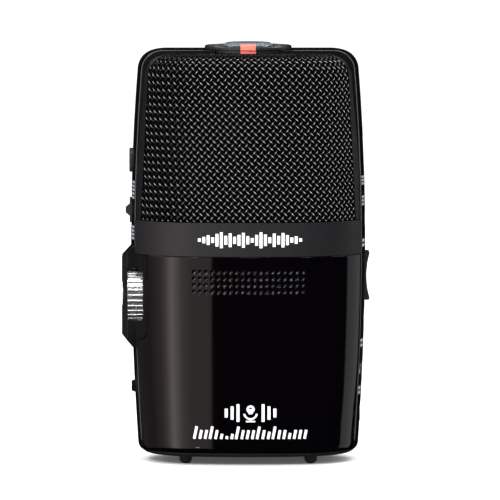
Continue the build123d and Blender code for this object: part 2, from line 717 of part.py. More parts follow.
with BuildPart() as battery_tray:
    add(block((-tray_half, -13.9, plinth_top_z), (tray_half, tray_back_y, bay_top_z + 0.9)))
    add(block((-bay_half, -far, bay_bottom_z), (bay_half, bay_back_y, bay_top_z)), mode=Mode.SUBTRACT)
    # The bridge that carries the speaker across the cells' upper ends.
    add(block((-17.0, -14.8, 43.4), (17.0, -13.9, 56.8)))
    add(rod((0, -15, speaker_z), (0, -13, speaker_z), 3.3), mode=Mode.SUBTRACT)
battery_tray.part.label = "battery_tray"
export_step(battery_tray.part, "parts/battery_tray.step")

left_cell_z = bay_bottom_z + contact_thickness + spring_height
right_cell_z = bay_bottom_z + contact_thickness


def cell(foot, direction):
    """An AA cell standing on its flat end at foot, its button pointing along direction."""
    nub = 1.1
    flat = Vector(*foot)
    shoulder = flat + Vector(0, 0, direction * (cell_length - nub))
    tip = flat + Vector(0, 0, direction * cell_length)
    return [rod(flat, shoulder, cell_radius), rod(shoulder, tip, 2.75)]


with BuildPart() as battery_cell_left:
    add(cell((-cell_x, cell_y, left_cell_z), 1))
battery_cell_left.part.label = "battery_cell_left"
export_step(battery_cell_left.part, "parts/battery_cell_left.step")

with BuildPart() as battery_cell_right:
    add(cell((cell_x, cell_y, right_cell_z + cell_length), -1))
battery_cell_right.part.label = "battery_cell_right"
export_step(battery_cell_right.part, "parts/battery_cell_right.step")

with BuildPart() as contact_plates:
    for plate_z in (bay_bottom_z, bay_top_z - contact_thickness):
        for x in (-cell_x, cell_x):
            low = (x - 5.5, cell_y - 5.0, plate_z)
            high = (x + 5.5, cell_y + 5.0, plate_z + contact_thickness)
            add(block(low, high))
contact_plates.part.label = "contact_plates"
export_step(contact_plates.part, "parts/contact_plates.step")

wire_radius = 0.28
spring_turns = 3


def contact_spring(foot):
    """A wire contact spring standing on a plate."""
    rise = spring_height - 2 * wire_radius
    with BuildPart() as spring:
        with BuildLine():
            coil = Helix(rise / spring_turns, rise, 4.2, center=(foot[0], foot[1], foot[2] + wire_radius))
        with BuildSketch(Plane(coil @ 0, z_dir=coil % 0)):
            Circle(wire_radius)
        sweep(path=coil, is_frenet=True)
    return spring.part


spring_pair = [
    contact_spring((-cell_x, cell_y, bay_bottom_z + contact_thickness)),
    contact_spring((cell_x, cell_y, bay_top_z - contact_thickness - spring_height)),
]
with BuildPart() as contact_springs:
    add(spring_pair)
contact_springs.part.label = "contact_springs"
export_step(contact_springs.part, "parts/contact_springs.step")

# ---------------------------------------------------------------- speaker behind the cover's holes
with BuildPart() as speaker:
    with BuildSketch(Plane.XZ.offset(14.8)):
        with Locations((0, speaker_z)):
            SlotOverall(30, 10.5)
    extrude(amount=2.7)
    add(rod((0, -14.8, speaker_z), (0, -12.9, speaker_z), 3.0))
speaker.part.label = "speaker"
export_step(speaker.part, "parts/speaker.step")

with BuildPart() as speaker_gasket:
    with BuildSketch(Plane.XZ.offset(17.5)):
        with Locations((0, speaker_z)):
            SlotOverall(29.6, 10.1)
            SlotOverall(27, 7.5, mode=Mode.SUBTRACT)
    extrude(amount=0.4)
speaker_gasket.part.label = "speaker_gasket"
export_step(speaker_gasket.part, "parts/speaker_gasket.step")

# ---------------------------------------------------------------- circuit boards
board_y = 5.7
board_thickness = 1.0
insert_clearance = 4.6

with BuildPart() as main_board:
    add(block((-26, board_y, 6.2), (26, board_y + board_thickness, 62)))
    for side in (-1, 1):
        inner, outer = sorted((side * 20, side * 26))
        add(block((inner, board_y, 62), (outer, board_y + board_thickness, 91)))
    add(block((-insert_clearance, 0, 0), (insert_clearance, 20, 9.8)), mode=Mode.SUBTRACT)
main_board.part.label = "main_board"
export_step(main_board.part, "parts/main_board.step")

with BuildPart() as display_board:
    add(block((-21, 10.7, 7.0), (21, 11.7, 58)))
    add(block((-insert_clearance, 0, 0), (insert_clearance, 20, 9.8)), mode=Mode.SUBTRACT)
display_board.part.label = "display_board"
export_step(display_board.part, "parts/display_board.step")

chip_y = board_y + board_thickness
chip_places = [(-15, 20, 9, 9), (-2, 22, 7, 7), (12, 18, 5, 8), (-14, 42, 6, 6), (4, 44, 8, 5), (16, 46, 4, 4)]

with BuildPart() as board_chips:
    for x, z, width, height in chip_places:
        add(block((x - width / 2, chip_y, z - height / 2), (x + width / 2, chip_y + 1.1, z + height / 2)))
    # The connector that joins the two boards.
    add(block((-8, chip_y, 52), (8, 10.7, 55)))
board_chips.part.label = "board_chips"
export_step(board_chips.part, "parts/board_chips.step")

with BuildPart() as lcd_module:
    add(block((-19, 11.7, 30.0), (19, 16.2, 55.0)))
    add(block((-17.2, 15.9, 32.5), (17.2, 17, 52.5)), mode=Mode.SUBTRACT)
    add(block((-17.2, 15.9, 32.5), (17.2, 16.0, 52.5)))
lcd_module.part.label = "lcd_module"
export_step(lcd_module.part, "parts/lcd_module.step")

# ---------------------------------------------------------------- sockets on the +X side
def jack(jack_z, nose_radius, bore_radius):
    """A plug socket whose nose fills its hole in the frame."""
    face_x = half_width_at(jack_z) - 0.1
    shoulder_x = half_width_at(jack_z) - frame_wall - 0.5
    body = block((shoulder_x - 11.0, -3.3, jack_z - 3.3), (shoulder_x, 3.3, jack_z + 3.3))
    nose = rod((shoulder_x, 0, jack_z), (face_x, 0, jack_z), nose_radius)
    bore = rod((face_x - 12.0, 0, jack_z), (far, 0, jack_z), bore_radius)
    return body + nose - bore


plug_radius = 1.8
small_plug_radius = 1.3
for name, jack_z, nose_radius, bore_radius in (
    ("line_in_jack", line_in_z, 2.95, plug_radius),
    ("phones_jack", phones_z, 2.95, plug_radius),
    ("remote_jack", remote_z, 2.45, small_plug_radius),
):
    with BuildPart() as socket:
        add(jack(jack_z, nose_radius, bore_radius))
    socket.part.label = name
    export_step(socket.part, "parts/" + name + ".step")

with BuildPart() as usb_port:
    usb_face_x = half_width_at(usb_z) - 0.6
    add(block((20.5, -1.75, usb_z - 4.0), (usb_face_x, 1.75, usb_z + 4.0)))
    add(block((22.0, -1.4, usb_z - 3.6), (far, 1.4, usb_z + 3.6)), mode=Mode.SUBTRACT)
    add(block((22.0, -0.4, usb_z - 2.6), (usb_face_x - 1, 0.4, usb_z + 2.6)))
usb_port.part.label = "usb_port"
export_step(usb_port.part, "parts/usb_port.step")

# ---------------------------------------------------------------- microphones
capsule_radius = 5.0
side_capsule_radius = 4.5
mid_z = 78.0
stereo_z = 94.0

with BuildPart() as mic_bracket:
    add(block((-18, -5.3, 67.0), (18, 5.3, 68.5)))
    add(block((-1.4, -1.5, 68.5), (1.4, 1.5, 87.6)))
    add(block((-13, -5, 87.6), (13, 8, 88.8)))
    for x in (-13.5, 13.5):
        add(rod((x, 0, 63.6), (x, 0, 67.0), 1.5))
mic_bracket.part.label = "mic_bracket"
export_step(mic_bracket.part, "parts/mic_bracket.step")

with BuildPart() as mic_board:
    add(block((-18, -14, 62.6), (18, 5.2, 63.6)))
mic_board.part.label = "mic_board"
export_step(mic_board.part, "parts/mic_board.step")

with BuildPart() as mic_ribbon:
    with BuildSketch(Plane.YZ.offset(6.0)):
        with BuildLine():
            Polyline((-6.0, 63.6), (-6.0, 70.0), (-2.0, 74.0), (-2.0, 75.0), (-1.8, 75.0), (-1.8, 73.9),
                     (-5.8, 69.9), (-5.8, 63.6), close=True)
        make_face()
    extrude(amount=6.0)
mic_ribbon.part.label = "mic_ribbon"
export_step(mic_ribbon.part, "parts/mic_ribbon.step")


def capsule(face, along, radius, length):
    """A microphone capsule with a shallow sound opening in its face."""
    rear = Vector(*face) - Vector(*along).normalized() * length
    dish = Vector(*face) - Vector(*along).normalized() * 0.6
    return rod(rear, face, radius) - rod(dish, Vector(*face) + Vector(*along), radius - 1.2)


with BuildPart() as mid_capsule:
    add(capsule((0, -9.8, mid_z), (0, -1, 0), capsule_radius, 7.9))
mid_capsule.part.label = "mid_capsule"
export_step(mid_capsule.part, "parts/mid_capsule.step")

with BuildPart() as side_capsules:
    for side in (-1, 1):
        add(capsule((side * 9.6, 3.4, mid_z), (side, 0, 0), side_capsule_radius, 7.6))
side_capsules.part.label = "side_capsules"
export_step(side_capsules.part, "parts/side_capsules.step")

for name, side in (("xy_capsule_left", -1), ("xy_capsule_right", 1)):
    with BuildPart() as stereo_capsule:
        add(capsule((side * 3.8, 4.6, stereo_z), (-side, 1, 0), capsule_radius, 7.5))
    stereo_capsule.part.label = name
    export_step(stereo_capsule.part, "parts/" + name + ".step")

# ---------------------------------------------------------------- tripod thread, screws and feet
with BuildPart() as tripod_insert:
    add(rod((0, tripod_y, base_z), (0, tripod_y, 8.7), tripod_insert_radius))
    add(rod((0, tripod_y, 0), (0, tripod_y, 8.0), tripod_bore_radius), mode=Mode.SUBTRACT)
tripod_insert.part.label = "tripod_insert"
export_step(tripod_insert.part, "parts/tripod_insert.step")

with BuildPart() as case_screws:
    for x, y in screw_spots:
        add(rod((x, y, base_z + 0.1), (x, y, 3.0), 1.8))
        add(rod((x, y, 3.0), (x, y, plinth_top_z), 0.95))
        for turn in (0, 90):
            with Locations(Location((x, y, base_z + 0.1), (0, 0, turn))):
                Box(1.8, 0.4, 0.8, mode=Mode.SUBTRACT)
case_screws.part.label = "case_screws"
export_step(case_screws.part, "parts/case_screws.step")

with BuildPart() as rubber_feet:
    for x in (-foot_x, foot_x):
        for y in (-foot_y, foot_y):
            with BuildSketch(Plane.XZ.offset(-y)):
                with BuildLine():
                    Polyline((x, 0), (x, base_z), (x + foot_radius, base_z), (x + foot_radius, 1.3))
                    ThreePointArc((x + foot_radius, 1.3), (x + 1.25, 0.35), (x + 0.6, 0))
                    Line((x + 0.6, 0), (x, 0))
                make_face()
            revolve(axis=Axis((x, y, 0), (0, 0, 1)))
rubber_feet.part.label = "rubber_feet"
export_step(rubber_feet.part, "parts/rubber_feet.step")
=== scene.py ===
"""A handheld voice recorder: materials, woven grilles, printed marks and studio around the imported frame."""

import json
from math import asin, atan2, cos, pi, radians, sin, sqrt

import bpy
from mathutils import Matrix, Vector
from mathutils.bvhtree import BVHTree

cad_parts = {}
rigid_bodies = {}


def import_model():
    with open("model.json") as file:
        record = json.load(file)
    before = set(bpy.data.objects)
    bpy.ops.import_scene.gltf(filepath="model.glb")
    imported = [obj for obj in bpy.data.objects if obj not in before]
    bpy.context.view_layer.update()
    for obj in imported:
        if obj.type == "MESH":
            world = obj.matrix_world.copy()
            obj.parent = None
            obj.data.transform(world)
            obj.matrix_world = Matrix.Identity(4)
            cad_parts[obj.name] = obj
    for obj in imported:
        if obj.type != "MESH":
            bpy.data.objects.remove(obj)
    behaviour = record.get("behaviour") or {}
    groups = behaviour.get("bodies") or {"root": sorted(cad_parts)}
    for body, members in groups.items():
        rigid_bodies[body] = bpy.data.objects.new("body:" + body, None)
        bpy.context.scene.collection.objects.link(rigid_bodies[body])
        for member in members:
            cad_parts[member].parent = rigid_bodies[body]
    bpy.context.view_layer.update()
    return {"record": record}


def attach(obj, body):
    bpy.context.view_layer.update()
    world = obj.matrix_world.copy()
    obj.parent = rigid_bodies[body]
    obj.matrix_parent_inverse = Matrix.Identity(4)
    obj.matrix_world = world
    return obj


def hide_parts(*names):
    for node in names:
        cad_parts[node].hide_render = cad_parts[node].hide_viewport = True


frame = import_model()
MM = 0.001


def add_object(name, data):
    """A new object of the scene."""
    made = bpy.data.objects.new(name, data)
    bpy.context.collection.objects.link(made)
    return made


# ---------------------------------------------------------------- camera
CAMERA_DISTANCE = 2.2
CAMERA_ELEVATION = radians(4.2)
VIEW_WIDTH = 0.1366
SENSOR_WIDTH = 36.0
LOOK_AT = Vector((0.0005, 0.0, 0.0573))


def add_camera():
    """The long lens a little above the recorder's top, looking at its speaker face."""
    data = bpy.data.cameras.new("camera")
    data.sensor_width = SENSOR_WIDTH
    data.lens = SENSOR_WIDTH * CAMERA_DISTANCE / VIEW_WIDTH
    data.clip_end = 20.0
    camera = add_object("camera", data)
    back = Vector((0.0, -cos(CAMERA_ELEVATION), sin(CAMERA_ELEVATION)))
    camera.location = LOOK_AT + back * CAMERA_DISTANCE
    camera.rotation_euler = (pi / 2 - CAMERA_ELEVATION, 0.0, 0.0)
    bpy.context.scene.camera = camera


# ---------------------------------------------------------------- studio
FLOOR_HALF = 3.0
FLOOR_COLOUR = (0.93, 0.93, 0.93, 1)
FLOOR_GLOW_COLOUR = (1.0, 0.95, 0.92, 1)
FLOOR_GLOW = 0.07
WORLD_WHITE = 1.15
WORLD_MIRRORED = 0.002

# Soft cards: name, azimuth and elevation in degrees, distance and (width, height) in metres, power in watts.
# Azimuth 0 is the camera's side, positive to its right.
CARDS = [
    ("overhead_card", 0, 88, 1.2, (1.2, 1.2), 3.0),
    ("high_left_card", -24, 30, 1.1, (0.16, 0.16), 5.0),
    ("wheel_card", 0, 42, 1.1, (0.10, 0.7), 1.6),
    ("high_right_card", 34, 50, 1.1, (0.14, 0.14), 2.0),
    ("rear_left_card", -122, 50, 1.0, (0.3, 0.3), 2.0),
    ("rear_right_card", 124, 50, 1.0, (0.3, 0.3), 2.0),
]

# Arcs of glow that only gloss can see: name, (azimuth, glow) stops, lowest and highest point, colour.
LEFT_GLOW = (
    (-13, 0.0), (-13.4, 0.60), (-24, 0.64), (-38, 0.95), (-54, 2.3), (-65, 0.95), (-74, 0.48),
    (-94, 0.18), (-130, 0.12), (-134, 0.0),
)
RIGHT_GLOW = ((92, 0.0), (95, 0.55), (123, 0.55), (126, 0.0))
REFLECTORS = [
    ("left_arc", LEFT_GLOW, -0.45, 0.42, (1.0, 0.88, 0.85)),
    ("right_arc", RIGHT_GLOW, -0.45, 0.42, (1.0, 0.97, 0.95)),
]
REFLECTOR_RADIUS = 1.0
REFLECTOR_STEP = 2.0


def add_card(name, azimuth, elevation, distance, size, power):
    """A soft area light facing the recorder."""
    data = bpy.data.lights.new(name, "AREA")
    data.shape = "RECTANGLE"
    data.size, data.size_y = size
    data.energy = power
    light = add_object(name, data)
    turn = radians(azimuth)
    rise = radians(elevation)
    out = Vector((sin(turn) * cos(rise), -cos(turn) * cos(rise), sin(rise)))
    light.location = LOOK_AT + out * distance
    light.rotation_euler = out.to_track_quat("Z", "Y").to_euler()
    light.visible_camera = False


def add_studio():
    """A pale floor that gloss doesn't mirror, a white surround and the soft cards that gloss does mirror."""
    floor_mesh = bpy.data.meshes.new("floor")
    half = FLOOR_HALF
    corners = [(-half, -half, 0), (half, -half, 0), (half, half, 0), (-half, half, 0)]
    floor_mesh.from_pydata(corners, [], [(0, 1, 2, 3)])
    floor = add_object("floor", floor_mesh)
    floor_paint = bpy.data.materials.new("floor_paint")
    floor_paint.use_nodes = True
    paint = floor_paint.node_tree.nodes["Principled BSDF"]
    paint.inputs["Base Color"].default_value = FLOOR_COLOUR
    paint.inputs["Roughness"].default_value = 1.0
    paint.inputs["Specular IOR Level"].default_value = 0.0
    paint.inputs["Emission Color"].default_value = FLOOR_GLOW_COLOUR
    paint.inputs["Emission Strength"].default_value = FLOOR_GLOW
    floor_mesh.materials.append(floor_paint)
    floor.visible_glossy = False

    world = bpy.data.worlds.new("surround")
    bpy.context.scene.world = world
    world.use_nodes = True
    tree = world.node_tree
    tree.nodes.clear()
    path = tree.nodes.new("ShaderNodeLightPath")
    bright = tree.nodes.new("ShaderNodeBackground")
    bright.inputs["Strength"].default_value = WORLD_WHITE
    bright.inputs["Color"].default_value = (1, 1, 1, 1)
    dark = tree.nodes.new("ShaderNodeBackground")
    dark.inputs["Strength"].default_value = WORLD_MIRRORED
    dark.inputs["Color"].default_value = (0.9, 0.8, 1.0, 1)
    pick = tree.nodes.new("ShaderNodeMixShader")
    out = tree.nodes.new("ShaderNodeOutputWorld")
    tree.links.new(path.outputs["Is Glossy Ray"], pick.inputs[0])
    tree.links.new(bright.outputs[0], pick.inputs[1])
    tree.links.new(dark.outputs[0], pick.inputs[2])
    tree.links.new(pick.outputs[0], out.inputs["Surface"])

    for card in CARDS:
        add_card(*card)
    for reflector in REFLECTORS:
        add_reflector(*reflector)
    bpy.context.scene.view_settings.view_transform = "Standard"


def glow_at(stops, azimuth):
    """The glow between the two stops round an azimuth."""
    for (low, low_glow), (high, high_glow) in zip(stops, stops[1:]):
        if min(low, high) <= azimuth <= max(low, high):
            return low_glow + (high_glow - low_glow) * (azimuth - low) / (high - low)
    return 0.0


def add_reflector(name, stops, low, high, colour):
    """An upright arc round the recorder whose glow changes with azimuth, seen only in reflections."""
    first, last = stops[0][0], stops[-1][0]
    count = int(abs(last - first) / REFLECTOR_STEP)
    even = {first + (last - first) * index / count for index in range(count + 1)}
    azimuths = sorted(even | {azimuth for azimuth, _ in stops})
    vertices, glows = [], []
    for azimuth in azimuths:
        x = REFLECTOR_RADIUS * sin(radians(azimuth))
        y = -REFLECTOR_RADIUS * cos(radians(azimuth))
        vertices += [(x, y, low), (x, y, high)]
        glows += [glow_at(stops, azimuth)] * 2
    faces = [(2 * i, 2 * i + 2, 2 * i + 3, 2 * i + 1) for i in range(len(azimuths) - 1)]
    mesh = bpy.data.meshes.new(name)
    mesh.from_pydata(vertices, [], faces)
    layer = mesh.color_attributes.new("glow", "FLOAT_COLOR", "POINT")
    for index, glow in enumerate(glows):
        layer.data[index].color = (colour[0] * glow, colour[1] * glow, colour[2] * glow, 1)
    paint = bpy.data.materials.new(name)
    paint.use_nodes = True
    tree = paint.node_tree
    tree.nodes.clear()
    glow_node = tree.nodes.new("ShaderNodeVertexColor")
    glow_node.layer_name = "glow"
    shine = tree.nodes.new("ShaderNodeEmission")
    out = tree.nodes.new("ShaderNodeOutputMaterial")
    tree.links.new(glow_node.outputs["Color"], shine.inputs["Color"])
    tree.links.new(shine.outputs[0], out.inputs["Surface"])
    mesh.materials.append(paint)
    arc = add_object(name, mesh)
    arc.visible_camera = False
    arc.visible_diffuse = False
    arc.visible_shadow = False
    arc.visible_transmission = False


# ---------------------------------------------------------------- materials
EVEN = (1.0, 1.0, 1.0)
GRAIN_DETAIL = 2.0
RANGE_DETAIL = 3.0
RANGE_STOPS = (0.35, 0.65)
BEVEL_SAMPLES = 4


def new_finish(name, colour, roughness, metallic=0.0, alpha=1.0, specular=0.5):
    """A principled material whose plain values sit on the shader's own sockets."""
    made = bpy.data.materials.new(name)
    made.use_nodes = True
    shader = made.node_tree.nodes["Principled BSDF"]
    shader.inputs["Base Color"].default_value = (*colour, 1)
    shader.inputs["Roughness"].default_value = roughness
    shader.inputs["Metallic"].default_value = metallic
    shader.inputs["Alpha"].default_value = alpha
    shader.inputs["Specular IOR Level"].default_value = specular
    return made


def object_noise(made, size_mm, detail, stretch):
    """A noise texture over the object's own coordinates, with features of about size_mm."""
    nodes = made.node_tree.nodes
    links = made.node_tree.links
    place = nodes.new("ShaderNodeTexCoord")
    mapping = nodes.new("ShaderNodeMapping")
    mapping.inputs["Scale"].default_value = [stretch[axis] / (size_mm * MM) for axis in range(3)]
    noise = nodes.new("ShaderNodeTexNoise")
    noise.inputs["Scale"].default_value = 1.0
    noise.inputs["Detail"].default_value = detail
    links.new(place.outputs["Object"], mapping.inputs["Vector"])
    links.new(mapping.outputs["Vector"], noise.inputs["Vector"])
    return noise.outputs["Fac"]


def add_grain(made, size_mm, height_mm, stretch=EVEN):
    """Fine moulded or brushed grain as bump."""
    nodes = made.node_tree.nodes
    links = made.node_tree.links
    bump = nodes.new("ShaderNodeBump")
    bump.inputs["Distance"].default_value = height_mm * MM
    links.new(object_noise(made, size_mm, GRAIN_DETAIL, stretch), bump.inputs["Height"])
    links.new(bump.outputs["Normal"], nodes["Principled BSDF"].inputs["Normal"])


def add_range(made, socket, size_mm, low, high, stretch=EVEN):
    """Lets a value or a colour wander between two ends over the surface."""
    nodes = made.node_tree.nodes
    links = made.node_tree.links
    ramp = nodes.new("ShaderNodeValToRGB")
    for stop, place, end in zip(ramp.color_ramp.elements, RANGE_STOPS, (low, high)):
        stop.position = place
        stop.color = (*end, 1) if isinstance(end, tuple) else (end, end, end, 1)
    links.new(object_noise(made, size_mm, RANGE_DETAIL, stretch), ramp.inputs["Fac"])
    links.new(ramp.outputs["Color"], nodes["Principled BSDF"].inputs[socket])


EDGE_RADII = (
    ("gloss_black_cover", 0.22), ("satin_black_shell", 0.25), ("trim_band", 0.2), ("grille_rim", 0.2),
    ("dial_black", 0.15), ("dial_metal", 0.12), ("pointer_red", 0.15), ("button_black", 0.15),
    ("base_plastic", 0.2), ("wheel_silver", 0.08),
)


def soften_edges(made, radius_mm):
    """Shades sharp edges as if rounded, under whatever grain the finish has."""
    nodes = made.node_tree.nodes
    links = made.node_tree.links
    edge = nodes.new("ShaderNodeBevel")
    edge.samples = BEVEL_SAMPLES
    edge.inputs["Radius"].default_value = radius_mm * MM
    bump = next((node for node in nodes if node.bl_idname == "ShaderNodeBump"), None)
    target = bump.inputs["Normal"] if bump else nodes["Principled BSDF"].inputs["Normal"]
    links.new(edge.outputs["Normal"], target)


# One finish for each slot: its name, colour and roughness; other values of the shader; what wanders over the
# surface, with its size in mm and its two ends; and the grain's size and height in mm.
FINISHES = {
    "gloss_black_cover": (
        ("piano_black", (0.0008, 0.0005, 0.001), 0.06), {},
        ("Roughness", 14.0, 0.05, 0.075), (9.0, 0.004),
    ),
    "satin_black_shell": (
        ("satin_black", (0.003, 0.003, 0.0035), 0.28), {},
        ("Base Color", 6.0, (0.002, 0.002, 0.0025), (0.004, 0.004, 0.0045)), (0.25, 0.006),
    ),
    "base_plastic": (
        ("base_black", (0.012, 0.012, 0.012), 0.5), {},
        ("Roughness", 4.0, 0.42, 0.55), (0.3, 0.01),
    ),
    "trim_band": (
        ("grained_grey", (0.0088, 0.0082, 0.0100), 0.5), {},
        ("Base Color", 0.45, (0.0065, 0.006, 0.0075), (0.0105, 0.0100, 0.0122)), (0.3, 0.012),
    ),
    "grille_rim": (
        ("rim_black", (0.003, 0.003, 0.0035), 0.5), {},
        ("Roughness", 3.0, 0.4, 0.5), (0.4, 0.006),
    ),
    "acoustic_cloth": (
        ("black_cloth", (0.0012, 0.0012, 0.0014), 0.95), {"specular": 0.1},
        ("Base Color", 1.0, (0.0008, 0.0008, 0.001), (0.0016, 0.0016, 0.0018)), (0.15, 0.02),
    ),
    "dial_black": (
        ("dial_black", (0.02, 0.02, 0.022), 0.36), {},
        ("Roughness", 3.0, 0.3, 0.42), (0.2, 0.006),
    ),
    "dial_metal": (
        ("dial_metal", (0.40, 0.46, 0.52), 0.3), {"metallic": 0.75},
        ("Roughness", 0.8, 0.22, 0.36), (0.12, 0.004),
    ),
    "pointer_red": (
        ("pointer_red", (0.95, 0.20, 0.16), 0.35), {},
        ("Base Color", 1.5, (0.90, 0.18, 0.14), (0.96, 0.22, 0.18)), (0.3, 0.004),
    ),
    "wheel_silver": (
        ("wheel_silver", (0.85, 0.85, 0.86), 0.2), {"metallic": 0.95},
        ("Roughness", 1.2, 0.14, 0.28), None,
    ),
    "button_black": (
        ("button_black", (0.016, 0.016, 0.018), 0.4), {},
        ("Roughness", 2.0, 0.35, 0.46), (0.2, 0.006),
    ),
    "record_button": (
        ("record_grey", (0.05, 0.05, 0.054), 0.28), {},
        ("Roughness", 3.0, 0.24, 0.34), (0.3, 0.004),
    ),
    "window": (
        ("smoked_window", (0.03, 0.032, 0.035), 0.04), {"alpha": 0.25},
        ("Roughness", 12.0, 0.03, 0.05), None,
    ),
    "lcd": (
        ("display_glass", (0.30, 0.36, 0.26), 0.25), {},
        ("Base Color", 20.0, (0.28, 0.34, 0.24), (0.32, 0.38, 0.28)), None,
    ),
    "led_lens": (
        ("lamp_red", (0.45, 0.03, 0.02), 0.2), {},
        ("Base Color", 0.8, (0.40, 0.02, 0.015), (0.55, 0.05, 0.03)), None,
    ),
    "circuit_board": (
        ("circuit_green", (0.015, 0.10, 0.04), 0.35), {},
        ("Base Color", 1.6, (0.010, 0.07, 0.03), (0.03, 0.15, 0.06)), (0.8, 0.01),
    ),
    "chip": (
        ("chip_black", (0.015, 0.015, 0.016), 0.5), {},
        ("Roughness", 1.5, 0.42, 0.6), (0.2, 0.008),
    ),
    "socket_metal": (
        ("plated_steel", (0.68, 0.68, 0.67), 0.25), {"metallic": 1.0},
        ("Roughness", 1.5, 0.2, 0.35), (0.4, 0.004),
    ),
    "jack_plastic": (
        ("jack_black", (0.012, 0.012, 0.012), 0.4), {},
        ("Roughness", 2.0, 0.35, 0.48), (0.25, 0.006),
    ),
    "memory_card": (
        ("card_blue", (0.02, 0.04, 0.12), 0.4), {},
        ("Base Color", 3.0, (0.018, 0.036, 0.11), (0.024, 0.045, 0.13)), (0.3, 0.006),
    ),
    "tray_plastic": (
        ("tray_black", (0.016, 0.016, 0.016), 0.5), {},
        ("Roughness", 3.0, 0.44, 0.58), (0.3, 0.008),
    ),
    "cell_jacket": (
        ("cell_grey", (0.25, 0.26, 0.28), 0.3), {"metallic": 0.7},
        ("Base Color", 8.0, (0.23, 0.24, 0.26), (0.28, 0.29, 0.31)), (0.4, 0.004),
    ),
    "contact_metal": (
        ("nickel", (0.72, 0.70, 0.64), 0.3), {"metallic": 1.0},
        ("Roughness", 1.0, 0.22, 0.38), (0.3, 0.004),
    ),
    "speaker": (
        ("cone_black", (0.015, 0.015, 0.016), 0.6), {},
        ("Roughness", 2.0, 0.5, 0.7), (0.35, 0.02),
    ),
    "gasket": (
        ("foam_black", (0.01, 0.01, 0.01), 0.95), {},
        ("Base Color", 0.5, (0.006, 0.006, 0.006), (0.014, 0.014, 0.014)), (0.3, 0.06),
    ),
    "capsule_metal": (
        ("capsule_metal", (0.5, 0.5, 0.52), 0.32), {"metallic": 1.0},
        ("Roughness", 1.0, 0.25, 0.4), (0.2, 0.006),
    ),
    "ribbon": (
        ("ribbon_amber", (0.50, 0.24, 0.05), 0.3), {},
        ("Base Color", 1.0, (0.42, 0.20, 0.04), (0.55, 0.28, 0.07), (6.0, 1.0, 1.0)), None,
    ),
    "brass": (
        ("turned_brass", (0.78, 0.58, 0.26), 0.25), {"metallic": 1.0},
        ("Roughness", 0.8, 0.2, 0.34), (0.25, 0.008, (1.0, 1.0, 6.0)),
    ),
    "screw_steel": (
        ("black_steel", (0.06, 0.06, 0.065), 0.35), {"metallic": 1.0},
        ("Roughness", 0.6, 0.28, 0.45), (0.2, 0.006),
    ),
    "foot_rubber": (
        ("soft_rubber", (0.012, 0.012, 0.012), 0.8), {},
        ("Roughness", 1.0, 0.7, 0.9), (0.25, 0.012),
    ),
    "white_ink": (
        ("white_ink", (0.86, 0.86, 0.87), 0.5), {},
        ("Base Color", 0.8, (0.82, 0.82, 0.83), (0.90, 0.90, 0.91)), None,
    ),
    # The painted highlight along the frame's front edge: a grey tube standing in for the edge's reflection.
    "lip": (
        ("painted_lip_highlight", (0.07, 0.075, 0.09), 0.3), {},
        ("Roughness", 5.0, 0.25, 0.35), None,
    ),
    "pale_ink": (
        ("pale_blue_ink", (0.26, 0.31, 0.345), 0.5), {},
        ("Base Color", 0.8, (0.23, 0.28, 0.31), (0.29, 0.34, 0.38)), None,
    ),
    "red_ink": (
        ("red_ink", (0.62, 0.03, 0.03), 0.45), {},
        ("Base Color", 0.8, (0.56, 0.025, 0.025), (0.68, 0.04, 0.04)), None,
    ),
    "dark_ink": (
        ("dark_ink", (0.02, 0.025, 0.02), 0.5), {},
        ("Base Color", 0.8, (0.016, 0.02, 0.016), (0.026, 0.032, 0.026)), None,
    ),
}
WIRE_COLOUR = (0.003, 0.003, 0.0035)
WIRE_ROUGHNESS = 0.3
WIRE_SPECULAR = 0.2
WIRE_GRAIN = (0.12, 0.003)
# Painted highlight on the wire crests: its colour, and how sharply the shader narrows it.
PAINTED_HIGHLIGHT_COLOUR = (0.92, 0.92, 0.94)
CREST_NARROWING = 3.6


def wire_finish():
    """Black wire with a painted highlight along the crests that its mesh marks."""
    wire = new_finish("wire_black", WIRE_COLOUR, WIRE_ROUGHNESS, specular=WIRE_SPECULAR)
    tree = wire.node_tree
    crest_highlight = tree.nodes.new("ShaderNodeVertexColor")
    crest_highlight.layer_name = "crest_highlight"
    narrowed = tree.nodes.new("ShaderNodeMath")
    narrowed.operation = "POWER"
    narrowed.inputs[1].default_value = CREST_NARROWING
    # Painted highlight: the pale colour is mixed into the base colour where the crest attribute marks it.
    painted_highlight = tree.nodes.new("ShaderNodeMixRGB")
    painted_highlight.inputs["Color1"].default_value = (*WIRE_COLOUR, 1)
    painted_highlight.inputs["Color2"].default_value = (*PAINTED_HIGHLIGHT_COLOUR, 1)
    tree.links.new(crest_highlight.outputs["Color"], narrowed.inputs[0])
    tree.links.new(narrowed.outputs[0], painted_highlight.inputs["Fac"])
    tree.links.new(painted_highlight.outputs["Color"], tree.nodes["Principled BSDF"].inputs["Base Color"])
    add_grain(wire, *WIRE_GRAIN)
    return wire


def make_finishes():
    """One finish for each material slot of the record, and those of the marks and the painted lip highlight."""
    made = {"grille_wire": wire_finish()}
    for slot, (values, settings, wander, grain) in FINISHES.items():
        made[slot] = new_finish(*values, **settings)
        if wander:
            add_range(made[slot], *wander)
        if grain:
            add_grain(made[slot], *grain)
    for slot, radius_mm in EDGE_RADII:
        soften_edges(made[slot], radius_mm)
    return made


def dress_frame(finishes):
    """Gives every CAD node the finish of its slot."""
    for entry in frame["record"]["subparts"]:
        node = bpy.data.objects[entry["node"]]
        node.data.materials.clear()
        node.data.materials.append(finishes[entry["material_slot"]])


